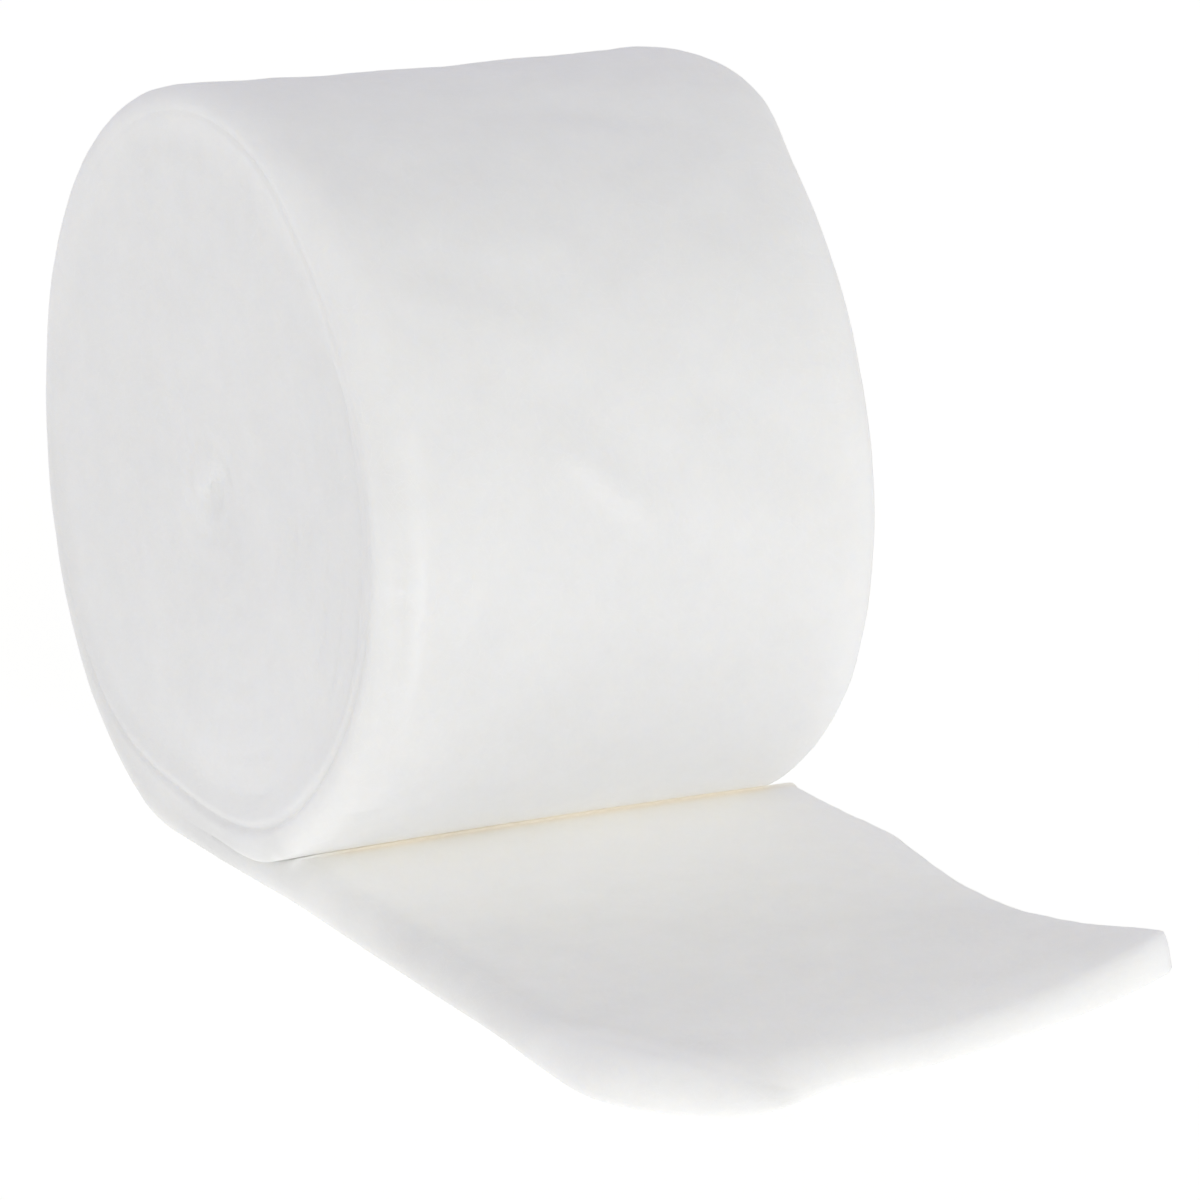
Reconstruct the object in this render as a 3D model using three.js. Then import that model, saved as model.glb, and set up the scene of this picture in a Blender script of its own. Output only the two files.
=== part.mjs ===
// Absorbent cotton roll: one long strip of soft cotton wadding, wound up, with the last
// stretch of the strip laid out flat in front of the roll.
// Millimetres, +Z up. The roll's axis runs along X and the loose end runs out towards -Y.
// The origin lies on the resting surface, under the axis and midway along the roll.

import * as THREE from 'three';

// Driving dimensions
const STRIP_WIDTH = 99;        // width of the strip, and so the length of the roll
const CENTRE_HEIGHT = 70.5;    // roll centre above the resting surface
const START_RADIUS = 74.5;     // outer radius where the outermost turn leaves the floor
const LAYER = 6.5;             // thickness of one turn of wadding
const PRESSED_LAYER = 5.8;     // the same layer where the roll's weight lies on it
const GAP = 0.3;               // between the roll and its loose end
const LOOSE_LENGTH = 156;      // reach of the loose end in front of the origin

// Rims and end faces of the roll
// A rim is rounded over a share of the outermost layer and a length along the roll
const NEAR_RIM = { share: 0.7, along: 5.5 };
const FAR_RIM = { share: 0.74, along: 9 };
const CORE_RADIUS = 54;        // inner part of the end faces, plain
const FACE_INSET = 1.2;        // end faces lie this far inside the outermost turn
const GROOVE_HALF = 1.4;       // half width of the groove beside the outermost turn
const LIP_SHARE = 0.6;         // how much of its stand-out the turn has at the groove's lip
const SEAM_FADE = 0.05;        // share of a turn over which groove and stand-out fade
const TUCK = 0.5;              // extra inset where the last turn dives over the loose end
const PRESS_POWER = 4;         // the pressed stretch of the layer fades out this fast
const FLAT_BLEND = 2.5;        // softness of the bend into the flat spot
const FLAT_REACH = 60;         // degrees from straight down beyond which nothing is flat
const ROOF_RUN = 45;           // the roll lies over the loose end up to here
const EDGE_ROUND = 2.6;        // how far the rounded long edges of the loose end bulge
const BOW_POWER = 4;           // the bow of the cut end dies out this fast towards the roll

// How fine the surfaces are
const ROLL_COLUMNS = 88;       // steps around the roll
const SIDE_STEPS = 8;          // steps along the roll between its rims
const RIM_STEPS = 4;           // steps across each rounded rim
const SHEET_STEPS = 34;        // steps along the loose end
const SHEET_CROWDING = 1.4;    // how much shorter these steps get towards the cut end
const SHEET_SPANS = 12;        // steps across the loose end
const EDGE_STEPS = 6;          // steps around each rounded edge of the loose end

// The plain core of an end face, from its centre outwards: the share of the core's radius
// and how much deeper than the rest of the face it lies there.
const CORE_ROWS = [
  { reach: 0, dip: 1.4 },
  { reach: 0.36, dip: 0.6 },
  { reach: 0.72, dip: 0.1 },
  { reach: 1, dip: 0 },
];

// The roll by angle: 0 straight down, 90 at the back, 180 at the top, 270 in front.
// near and far push each rim outwards, the three swells add to the radius at the near
// rim, midway and at the far rim, and groove is the depth of the groove on the end faces.
const ROLL_ROWS = [
  { angle: 0, near: -1, far: 0, nearSwell: 0, midSwell: 0, farSwell: 0, groove: 0.5 },
  { angle: 45, near: 0.4, far: 0, nearSwell: 1.2, midSwell: 1, farSwell: 1, groove: 0.5 },
  { angle: 90, near: 0, far: 0, nearSwell: 0.9, midSwell: 1.6, farSwell: 1.6, groove: 0.6 },
  { angle: 120, near: 0, far: 0.4, nearSwell: 1.4, midSwell: 0.4, farSwell: 0.8, groove: 0.8 },
  { angle: 170, near: 0, far: 3, nearSwell: -1, midSwell: -2.4, farSwell: -1.6, groove: 1.6 },
  { angle: 195, near: 0, far: 3.8, nearSwell: -1, midSwell: -2.4, farSwell: -1.4, groove: 1.9 },
  { angle: 215, near: 0, far: 0, nearSwell: 0, midSwell: -1.2, farSwell: -1.4, groove: 2 },
  { angle: 240, near: 0, far: -1.4, nearSwell: 1.2, midSwell: 0.6, farSwell: 0, groove: 2 },
  { angle: 270, near: 0, far: -0.9, nearSwell: 2, midSwell: 1.8, farSwell: 1.5, groove: 2 },
  { angle: 300, near: 0, far: -0.2, nearSwell: 1.8, midSwell: 1.6, farSwell: 2.2, groove: 1.9 },
  { angle: 322, near: 0, far: 0.4, nearSwell: 0.2, midSwell: 0, farSwell: 1, groove: 1.8 },
  { angle: 340, near: -0.4, far: 0.2, nearSwell: -1, midSwell: -1, farSwell: -0.6, groove: 1.4 },
];

// The loose end by its distance in front of the origin: where its two long edges run,
// how far the edges and the middle lift off the floor, and how thick they are.
const SHEET_ROWS = [
  { run: 0, near: -47.5, far: 50, midLift: 0, farLift: 0, nearThick: 7.4, midThick: 7.6, farThick: 7.6 },
  { run: 25, near: -46.6, far: 54.6, midLift: 0, farLift: 0, nearThick: 7.6, midThick: 7.8, farThick: 8 },
  { run: 40, near: -46, far: 55.6, midLift: 0, farLift: 0, nearThick: 7.6, midThick: 8.4, farThick: 8.6 },
  { run: 62, near: -45.6, far: 56.6, midLift: 0, farLift: 0.2, nearThick: 7.6, midThick: 8.6, farThick: 8.6 },
  { run: 82, near: -45.4, far: 54, midLift: 0, farLift: 0.6, nearThick: 7.6, midThick: 8.4, farThick: 8.4 },
  { run: 104, near: -45.2, far: 51.8, midLift: 0, farLift: 1.4, nearThick: 7.6, midThick: 8.2, farThick: 8.2 },
  { run: 125, near: -46, far: 51.4, midLift: 0.4, farLift: 4.2, nearThick: 8, midThick: 7.8, farThick: 8 },
  { run: 138, near: -45.4, far: 52, midLift: 1.4, farLift: 6.8, nearThick: 8.4, midThick: 7, farThick: 7.8 },
  { run: 147, near: -40.6, far: 52.2, midLift: 2.3, farLift: 9, nearThick: 8.2, midThick: 6, farThick: 7.8 },
  { run: 153, near: -32, far: 52.4, midLift: 2.9, farLift: 10.5, nearThick: 6.6, midThick: 4.8, farThick: 7.8 },
  { run: 156, near: -22, far: 52.4, midLift: 3.2, farLift: 11, nearThick: 3.6, midThick: 3, farThick: 7.8 },
];

// The cut end isn't quite straight: how far it stands out, by its place across the strip
const FRONT_ROWS = [
  { across: -52, bow: -1.6 },
  { across: -42, bow: 0 },
  { across: -29, bow: 2.4 },
  { across: -9, bow: -2.6 },
  { across: 8, bow: -0.4 },
  { across: 42, bow: 1.6 },
  { across: 58, bow: 0.2 },
];

const radians = THREE.MathUtils.degToRad;

// Tables are read as smooth curves through their rows
function rowSlope(rows, key, column, index) {
  const before = rows[Math.max(index - 1, 0)];
  const after = rows[Math.min(index + 1, rows.length - 1)];
  return (after[column] - before[column]) / (after[key] - before[key]);
}

function readTable(rows, key, column, at) {
  let index = 0;
  while (index < rows.length - 2 && at > rows[index + 1][key]) {
    index += 1;
  }
  const start = rows[index];
  const end = rows[index + 1];
  const span = end[key] - start[key];
  const t = (at - start[key]) / span;
  const rise = rowSlope(rows, key, column, index) * span;
  const fall = rowSlope(rows, key, column, index + 1) * span;
  const bend = (start[column] - end[column]) * 2 + rise + fall;
  const lean = (end[column] - start[column]) * 3 - 2 * rise - fall;
  return ((bend * t + lean) * t + rise) * t + start[column];
}

// A table by angle goes on past 0 and 360 degrees
function closeRound(rows) {
  const before = rows.slice(-2).map((row) => ({ ...row, angle: row.angle - 360 }));
  const after = rows.slice(0, 2).map((row) => ({ ...row, angle: row.angle + 360 }));
  return [...before, ...rows, ...after];
}

const ROUND_ROWS = closeRound(ROLL_ROWS);

// A value across the width, through its values at the near side, midway and the far side
function through(near, middle, far, share) {
  const nearPart = (1 - 2 * share) * (1 - share);
  const midPart = 4 * share * (1 - share);
  const farPart = share * (2 * share - 1);
  return near * nearPart + middle * midPart + far * farPart;
}

// The smaller of two values, with a soft bend of the given width between them
function softMin(a, b, width) {
  const overlap = Math.max(width - Math.abs(a - b), 0) / width;
  return Math.min(a, b) - overlap * overlap * width / 4;
}

// Thickness of the outermost turn, pressed thinner at the bottom
function layerAt(turn) {
  const pressed = (1 + Math.cos(radians(turn * 360))) / 2;
  return THREE.MathUtils.lerp(LAYER, PRESSED_LAYER, pressed ** PRESS_POWER);
}

// Section of the roll: the strip winds inwards by one layer over a full turn, from the
// floor up the back, over the top and down the front, and lies flat where it rests.
function outerRadius(turn, side) {
  const angle = turn * 360;
  const swell = (column) => readTable(ROUND_ROWS, 'angle', column, angle);
  const added = through(swell('nearSwell'), swell('midSwell'), swell('farSwell'), side);
  const free = START_RADIUS - LAYER * turn + added;
  const down = Math.cos(radians(angle));
  if (down < Math.cos(radians(FLAT_REACH))) {
    return free;
  }
  const floor = turn < 0.5 ? 0 : PRESSED_LAYER + GAP;
  return softMin(free, (CENTRE_HEIGHT - floor) / down, FLAT_BLEND);
}

// One end face with its rim, from the centre outwards, as rows of inset from the rim's
// plane and radius. Rows of the core are shared by the first and the last column. The
// outermost turn stands proud of the face, but for the place where it starts and ends.
function endFace(turn, side, rim, grooveDepth) {
  const outer = outerRadius(turn, side);
  const layer = layerAt(turn);
  const groove = outer - layer;
  const seam = Math.max(1 - turn / SEAM_FADE, 1 - (1 - turn) / SEAM_FADE, 0);
  const proud = FACE_INSET * (1 - seam);
  const face = FACE_INSET + TUCK * THREE.MathUtils.smoothstep(turn, 1 - 2 * SEAM_FADE, 1);
  const rows = CORE_ROWS.map(
    ({ reach, dip }) => ({ inset: FACE_INSET + dip, radius: CORE_RADIUS * reach, core: true }),
  );
  rows.push(
    { inset: face, radius: groove - GROOVE_HALF },
    { inset: face + grooveDepth * (1 - seam), radius: groove },
    { inset: face - proud * LIP_SHARE, radius: groove + GROOVE_HALF },
  );
  for (let step = 0; step <= RIM_STEPS; step += 1) {
    const bend = radians(90 * step / RIM_STEPS);
    rows.push({
      inset: face - proud + rim.along * (1 - Math.cos(bend)),
      radius: outer - layer * rim.share * (1 - Math.sin(bend)),
    });
  }
  return rows;
}

// All rows of one column, from the centre of the near face to the centre of the far face
function columnRows(turn) {
  const angle = turn * 360;
  const nearX = -STRIP_WIDTH / 2 - readTable(ROUND_ROWS, 'angle', 'near', angle);
  const farX = STRIP_WIDTH / 2 + readTable(ROUND_ROWS, 'angle', 'far', angle);
  const groove = readTable(ROUND_ROWS, 'angle', 'groove', angle);
  const near = endFace(turn, 0, NEAR_RIM, groove).map(
    (row) => ({ ...row, x: (row.core ? -STRIP_WIDTH / 2 : nearX) + row.inset }),
  );
  const far = endFace(turn, 1, FAR_RIM, groove).map(
    (row) => ({ ...row, x: (row.core ? STRIP_WIDTH / 2 : farX) - row.inset }),
  );
  const sideStart = near[near.length - 1].x;
  const sideEnd = far[far.length - 1].x;
  const sideRows = [];
  for (let step = 1; step < SIDE_STEPS; step += 1) {
    const side = step / SIDE_STEPS;
    sideRows.push({
      x: THREE.MathUtils.lerp(sideStart, sideEnd, side),
      radius: outerRadius(turn, side),
    });
  }
  return [...near, ...sideRows, ...far.reverse()];
}

// Height of the roll's underside above the floor, at a distance in front of the origin
function underside(run, side) {
  let turn = 1;
  for (let pass = 0; pass < 4; pass += 1) {
    turn = 1 - Math.asin(run / outerRadius(turn, side)) / (2 * Math.PI);
  }
  return CENTRE_HEIGHT - outerRadius(turn, side) * Math.cos(turn * 2 * Math.PI);
}

function rollPoint(turn, row) {
  const angle = turn * 2 * Math.PI;
  return [row.x, row.radius * Math.sin(angle), CENTRE_HEIGHT - row.radius * Math.cos(angle)];
}

// Triangles between two columns of points; a quad that has shrunk to an edge is skipped
function joinColumns(faces, left, right) {
  for (let row = 0; row < left.length - 1; row += 1) {
    const a = left[row];
    const b = left[row + 1];
    const c = right[row + 1];
    const d = right[row];
    if (b !== c) {
      faces.push([a, b, c]);
    }
    if (a !== d) {
      faces.push([a, c, d]);
    }
  }
}

// A flat cap on a closed outline of points that lie in a plane of constant Y
function capOutline(faces, points, outline, facesFront) {
  const flat = outline.map((index) => new THREE.Vector2(points[index][0], points[index][2]));
  const counterClockwise = THREE.ShapeUtils.area(flat) > 0;
  if (!counterClockwise) {
    flat.reverse();
  }
  const ordered = counterClockwise ? outline : [...outline].reverse();
  for (const [a, b, c] of THREE.ShapeUtils.triangulateShape(flat, [])) {
    const corner = [ordered[a], ordered[b], ordered[c]];
    faces.push(facesFront ? corner : corner.reverse());
  }
}

function makeGeometry(points, faces) {
  const geometry = new THREE.BufferGeometry();
  geometry.setAttribute('position', new THREE.Float32BufferAttribute(points.flat(), 3));
  geometry.setIndex(faces.flat());
  geometry.computeVertexNormals();
  return geometry;
}

// The wound roll: columns of points around it, and a step at the bottom where the
// outermost turn goes on into the loose end.
function woundRoll() {
  const points = [];
  const faces = [];
  const columns = [];
  for (let step = 0; step <= ROLL_COLUMNS; step += 1) {
    const turn = step / ROLL_COLUMNS;
    const column = columnRows(turn).map((row, index) => {
      const centre = row.radius === 0 && step > 0;
      const closing = row.core && step === ROLL_COLUMNS;
      if (centre || closing) {
        return columns[0][index];
      }
      points.push(rollPoint(turn, row));
      return points.length - 1;
    });
    columns.push(column);
  }
  for (let step = 0; step < ROLL_COLUMNS; step += 1) {
    joinColumns(faces, columns[step + 1], columns[step]);
  }
  joinColumns(faces, columns[0], columns[ROLL_COLUMNS]);
  return makeGeometry(points, faces);
}

// One closed outline across the loose end, with rounded long edges
function sheetOutline(run) {
  const read = (column) => readTable(SHEET_ROWS, 'run', column, run);
  const near = read('near');
  const far = read('far');
  const lift = (share) => Math.max(through(0, read('midLift'), read('farLift'), share), 0);
  const thick = (share) => {
    const free = through(read('nearThick'), read('midThick'), read('farThick'), share);
    const room = run < ROOF_RUN ? underside(run, share) - GAP : free;
    return Math.min(free, room);
  };
  const nearHalf = thick(0) / 2;
  const farHalf = thick(1) / 2;
  const inner = near + EDGE_ROUND;
  const width = far - EDGE_ROUND - inner;
  const outline = [];
  for (let step = 0; step <= SHEET_SPANS; step += 1) {
    const share = step / SHEET_SPANS;
    outline.push([inner + width * share, lift(share)]);
  }
  for (let step = 1; step < EDGE_STEPS; step += 1) {
    const bend = radians(180 * step / EDGE_STEPS);
    outline.push([inner + width + EDGE_ROUND * Math.sin(bend), lift(1) + farHalf * (1 - Math.cos(bend))]);
  }
  for (let step = SHEET_SPANS; step >= 0; step -= 1) {
    const share = step / SHEET_SPANS;
    outline.push([inner + width * share, lift(share) + thick(share)]);
  }
  for (let step = EDGE_STEPS - 1; step > 0; step -= 1) {
    const bend = radians(180 * step / EDGE_STEPS);
    outline.push([inner - EDGE_ROUND * Math.sin(bend), nearHalf * (1 - Math.cos(bend))]);
  }
  return outline;
}

// The loose end: outlines along its run, closed by its two cut ends. The steps get
// shorter towards the front, where the edge rolls off.
function looseEnd() {
  const points = [];
  const faces = [];
  const loops = [];
  for (let step = 0; step <= SHEET_STEPS; step += 1) {
    const share = step / SHEET_STEPS;
    const run = LOOSE_LENGTH * (1 - (1 - share) ** SHEET_CROWDING);
    const straight = GAP + (LOOSE_LENGTH - GAP) * run / LOOSE_LENGTH;
    const loop = sheetOutline(run).map(([x, z]) => {
      const bow = readTable(FRONT_ROWS, 'across', 'bow', x) * (run / LOOSE_LENGTH) ** BOW_POWER;
      points.push([x, -straight - bow, z]);
      return points.length - 1;
    });
    loops.push(loop);
  }
  for (let step = 0; step < SHEET_STEPS; step += 1) {
    const left = [...loops[step], loops[step][0]];
    const right = [...loops[step + 1], loops[step + 1][0]];
    joinColumns(faces, left, right);
  }
  capOutline(faces, points, loops[0], false);
  capOutline(faces, points, loops[SHEET_STEPS], true);
  return makeGeometry(points, faces);
}

function cottonMaterial(color) {
  return new THREE.MeshStandardMaterial({ color, roughness: 0.95, metalness: 0 });
}

const roll = new THREE.Mesh(woundRoll(), cottonMaterial('#f3f3ef'));
roll.name = 'wound_roll';

const sheet = new THREE.Mesh(looseEnd(), cottonMaterial('#f1f1ed'));
sheet.name = 'loose_end';

const cottonRoll = new THREE.Group();
cottonRoll.add(roll, sheet);

export default cottonRoll;
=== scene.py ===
# Absorbent cotton roll: a strip of soft carded wadding, wound up, with its end laid out
# flat in front. Tables and sizes are in millimetres in the frame of the solids: the axis
# of the roll along X, the loose end towards -Y, the resting surface at height 0.

import math

import bmesh
import bpy
import numpy as np
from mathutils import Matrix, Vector, noise
from mathutils.bvhtree import BVHTree


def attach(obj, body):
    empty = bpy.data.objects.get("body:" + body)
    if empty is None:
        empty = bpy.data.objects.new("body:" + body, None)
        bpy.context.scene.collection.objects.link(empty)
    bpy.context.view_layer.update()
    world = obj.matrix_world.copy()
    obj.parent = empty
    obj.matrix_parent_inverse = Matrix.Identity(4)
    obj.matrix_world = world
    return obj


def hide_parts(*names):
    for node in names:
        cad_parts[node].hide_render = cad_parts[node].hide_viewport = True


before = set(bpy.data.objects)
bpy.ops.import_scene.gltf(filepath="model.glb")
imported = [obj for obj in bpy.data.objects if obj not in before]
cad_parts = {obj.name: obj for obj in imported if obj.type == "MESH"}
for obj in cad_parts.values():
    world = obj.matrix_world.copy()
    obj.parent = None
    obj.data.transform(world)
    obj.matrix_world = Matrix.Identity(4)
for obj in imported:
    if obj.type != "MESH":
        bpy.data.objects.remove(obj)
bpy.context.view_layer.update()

MM = 0.001

# Driving sizes of the solids
STRIP_WIDTH = 99.0
CENTRE_HEIGHT = 70.5
START_RADIUS = 74.5
LAYER = 6.5
PRESSED_LAYER = 5.8
LOOSE_LENGTH = 156.0
NEAR_RIM = {"share": 0.7, "along": 5.5}
FAR_RIM = {"share": 0.74, "along": 9.0}
CORE_RADIUS = 54.0
FACE_INSET = 1.2
DISH_DEPTH = 1.2
LOW_FRONT = 0.86
PRESS_POWER = 4
FLAT_BLEND = 2.5
FLAT_REACH = 60.0
ROOF_RUN = 45.0
BOW_POWER = 4

# How fine the surfaces are
ROLL_STEPS = 400
SIDE_STEPS = 78
SHEET_RUNS = 150
SHEET_SPANS = 124

# Unevenness, as layers of bumps with their height and size
BUMP_OCTAVES = 3
SIDE_WAVES = [
    {"high": 0.4, "size": 30, "shift": 0},
    {"high": 0.2, "size": 9, "shift": 50},
]
WIDTH_WAVES = [{"high": 0.16, "size": 9, "shift": 90}]
SHEET_WAVES = [
    {"high": 0.42, "size": 26, "shift": 15},
    {"high": 0.16, "size": 8, "shift": 0},
]
FACE_FELT = [
    {"high": 0.26, "size": 19, "shift": 0},
    {"high": 0.07, "size": 5, "shift": 30},
]
FACE_DRIFT = [{"high": 1.0, "size": 22, "shift": 70}]

# The roll by angle: 0 straight down, 90 at the back, 180 at the top, 270 in front
ROLL_ROWS = [
    {"angle": 0, "near": -1, "far": 0, "near_swell": 0, "mid_swell": 0, "far_swell": 0},
    {"angle": 45, "near": 0.4, "far": 0, "near_swell": 1.2, "mid_swell": 1, "far_swell": 1},
    {"angle": 90, "near": 0, "far": 0, "near_swell": 0.9, "mid_swell": 1.6, "far_swell": 1.6},
    {"angle": 120, "near": 0, "far": 0.4, "near_swell": 1.4, "mid_swell": 0.4, "far_swell": 0.8},
    {"angle": 170, "near": 0, "far": 3, "near_swell": -1, "mid_swell": -2.4, "far_swell": -1.6},
    {"angle": 195, "near": 0, "far": 3.8, "near_swell": -1, "mid_swell": -2.4, "far_swell": -1.4},
    {"angle": 215, "near": 0, "far": 0, "near_swell": 0, "mid_swell": -1.2, "far_swell": -1.4},
    {"angle": 240, "near": 0, "far": -1.4, "near_swell": 1.2, "mid_swell": 0.6, "far_swell": 0},
    {"angle": 270, "near": 0, "far": -0.9, "near_swell": 2, "mid_swell": 1.8, "far_swell": 1.5},
    {"angle": 300, "near": 0, "far": -0.2, "near_swell": 1.8, "mid_swell": 1.6, "far_swell": 2.2},
    {"angle": 322, "near": 0, "far": 0.4, "near_swell": 0.2, "mid_swell": 0, "far_swell": 1},
    {"angle": 340, "near": -0.4, "far": 0.2, "near_swell": -1, "mid_swell": -1, "far_swell": -0.6},
]

# The loose end by its distance in front of the origin
SHEET_ROWS = [
    {"run": 0, "near": -48.5, "far": 49.5, "mid_lift": 0, "far_lift": 0,
     "near_thick": 7.4, "mid_thick": 7.6, "far_thick": 7.6},
    {"run": 25, "near": -46.6, "far": 54.6, "mid_lift": 0, "far_lift": 0,
     "near_thick": 8.6, "mid_thick": 9.4, "far_thick": 9.4},
    {"run": 40, "near": -46, "far": 55.6, "mid_lift": 0, "far_lift": 0,
     "near_thick": 8.4, "mid_thick": 9.3, "far_thick": 9.3},
    {"run": 62, "near": -45.6, "far": 56.6, "mid_lift": 0, "far_lift": 0.2,
     "near_thick": 7.8, "mid_thick": 8.8, "far_thick": 8.7},
    {"run": 82, "near": -45.4, "far": 54, "mid_lift": 0, "far_lift": 0.6,
     "near_thick": 7.6, "mid_thick": 8.4, "far_thick": 8.4},
    {"run": 104, "near": -45.2, "far": 51.8, "mid_lift": 0, "far_lift": 1.4,
     "near_thick": 7.6, "mid_thick": 8.2, "far_thick": 8.2},
    {"run": 125, "near": -46, "far": 51.4, "mid_lift": 0.4, "far_lift": 4.2,
     "near_thick": 8, "mid_thick": 7.8, "far_thick": 8},
    {"run": 138, "near": -45.4, "far": 52, "mid_lift": 1.4, "far_lift": 6.8,
     "near_thick": 8.4, "mid_thick": 7, "far_thick": 7.8},
    {"run": 147, "near": -40.6, "far": 52.2, "mid_lift": 2.3, "far_lift": 9,
     "near_thick": 8.2, "mid_thick": 6, "far_thick": 7.8},
    {"run": 153, "near": -33, "far": 52.4, "mid_lift": 2.9, "far_lift": 10.5,
     "near_thick": 6.6, "mid_thick": 4.8, "far_thick": 7.8},
    {"run": 155, "near": -28, "far": 52.4, "mid_lift": 3.1, "far_lift": 10.8,
     "near_thick": 5.6, "mid_thick": 4.4, "far_thick": 7.8},
    {"run": 156, "near": -20, "far": 52.4, "mid_lift": 3.2, "far_lift": 11,
     "near_thick": 5, "mid_thick": 4.2, "far_thick": 7.8},
]

# How far the cut end stands out, and how wide its edge rolls off, across the strip
FRONT_ROWS = [
    {"across": -52, "bow": -1.6, "roll_off": 9},
    {"across": -42, "bow": 0, "roll_off": 13},
    {"across": -29, "bow": 2.2, "roll_off": 11},
    {"across": -20, "bow": 0.9, "roll_off": 8},
    {"across": -9, "bow": -2.2, "roll_off": 5.6},
    {"across": 8, "bow": -0.4, "roll_off": 3.4},
    {"across": 26, "bow": 0.9, "roll_off": 3.6},
    {"across": 42, "bow": 1.6, "roll_off": 2.8},
    {"across": 58, "bow": 0.2, "roll_off": 1.2},
]

# Soft folds in the roll's outer surface, each from one place to another: x along the
# roll, angle around it, half width, and height above the surface (a trough is negative)
FOLD_ROWS = [
    {"x0": -47.5, "a0": 272.0, "x1": -42.4, "a1": 272.6, "wide": 0.9, "high": 0.5},
    {"x0": -41.0, "a0": 266, "x1": -41.2, "a1": 290, "wide": 1.5, "high": 0.7},
    {"x0": -44.4, "a0": 262, "x1": -44.2, "a1": 290, "wide": 1.7, "high": -0.4},
    {"x0": -41.8, "a0": 248, "x1": -41.0, "a1": 272, "wide": 3.0, "high": 0.6},
    {"x0": -45.6, "a0": 276, "x1": -45.2, "a1": 284, "wide": 1.4, "high": 0.3},
    {"x0": -14, "a0": 257, "x1": 1.5, "a1": 267.5, "wide": 3.8, "high": 1.3},
    {"x0": 14, "a0": 250, "x1": 30, "a1": 258, "wide": 5.0, "high": -0.6},
    {"x0": -34, "a0": 228, "x1": -10, "a1": 236, "wide": 6.0, "high": -0.7},
    {"x0": 4, "a0": 196, "x1": 30, "a1": 206, "wide": 6.0, "high": -0.6},
    {"x0": -30, "a0": 100, "x1": 6, "a1": 108, "wide": 6.0, "high": -0.7},
    {"x0": 10, "a0": 66, "x1": 38, "a1": 78, "wide": 5.0, "high": -0.6},
    {"x0": -38, "a0": 140, "x1": -12, "a1": 134, "wide": 5.0, "high": 0.6},
]


# Tables are read as smooth curves through their rows
def read_table(rows, key, column, at):
    keys = np.array([row[key] for row in rows], float)
    values = np.array([row[column] for row in rows], float)
    before = np.maximum(np.arange(len(rows)) - 1, 0)
    after = np.minimum(np.arange(len(rows)) + 1, len(rows) - 1)
    slopes = (values[after] - values[before]) / (keys[after] - keys[before])
    at = np.asarray(at, float)
    index = np.clip(np.searchsorted(keys, at) - 1, 0, len(rows) - 2)
    span = keys[index + 1] - keys[index]
    t = (at - keys[index]) / span
    rise = slopes[index] * span
    fall = slopes[index + 1] * span
    start = values[index]
    end = values[index + 1]
    bend = (start - end) * 2 + rise + fall
    lean = (end - start) * 3 - 2 * rise - fall
    return ((bend * t + lean) * t + rise) * t + start


# A table by angle goes on past 0 and 360 degrees
def close_round(rows):
    before = [{**row, "angle": row["angle"] - 360} for row in rows[-2:]]
    after = [{**row, "angle": row["angle"] + 360} for row in rows[:2]]
    return before + rows + after


ROUND_ROWS = close_round(ROLL_ROWS)


def by_angle(column, turn):
    return read_table(ROUND_ROWS, "angle", column, (np.asarray(turn) % 1.0) * 360)


# A value across the width, through its values at the near side, midway and the far side
def through(near, middle, far, share):
    near_part = (1 - 2 * share) * (1 - share)
    mid_part = 4 * share * (1 - share)
    far_part = share * (2 * share - 1)
    return near * near_part + middle * mid_part + far * far_part


def smooth(low, high, value):
    t = np.clip((value - low) / (high - low), 0, 1)
    return t * t * (3 - 2 * t)


def soft_min(a, b, width):
    overlap = np.maximum(width - np.abs(a - b), 0) / width
    return np.minimum(a, b) - overlap * overlap * width / 4


# Natural unevenness: a soft random height at each point, for bumps of the given size
def bumps(points, size):
    return np.array([
        noise.fractal(Vector(point) / size, 1.0, 2.0, BUMP_OCTAVES) for point in points
    ])


# Layers of unevenness on top of each other, each shifted so that it doesn't follow another
def uneven(points, layers):
    return sum(
        layer["high"] * bumps(points + layer["shift"], layer["size"]) for layer in layers
    )


# Where a place lies across the strip: 0 at its near side, 1 at its far side
def side_share(x):
    return np.clip((x + STRIP_WIDTH / 2) / STRIP_WIDTH, 0, 1)


# How much a turn lies towards another: 1 there, -1 opposite
def towards(turn, other):
    return np.cos((turn - other) * 2 * np.pi)


# Section of the roll by turns from where the strip leaves the floor: the first turn is
# the outermost, and each turn lies one layer further in.
def layer_at(turn):
    pressed = (1 + np.cos(np.asarray(turn) * 2 * np.pi)) / 2
    return LAYER + (PRESSED_LAYER - LAYER) * pressed ** PRESS_POWER


def first_lap(turn, side):
    added = through(
        by_angle("near_swell", turn), by_angle("mid_swell", turn), by_angle("far_swell", turn), side
    )
    free = START_RADIUS - LAYER * turn + added
    down = np.cos(turn * 2 * np.pi)
    floor = np.where(turn < 0.5, 0.0, PRESSED_LAYER)
    near_floor = down > math.cos(math.radians(FLAT_REACH))
    flat = (CENTRE_HEIGHT - floor) / np.where(near_floor, down, 1.0)
    return np.where(near_floor, soft_min(free, flat, FLAT_BLEND), free)


# Folds listed one by one, as heights on a surface with x and arc length as its two ways. Each
# fades in and out over its first and last quarter.
MM_PER_DEGREE = START_RADIUS * math.pi / 180


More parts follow.
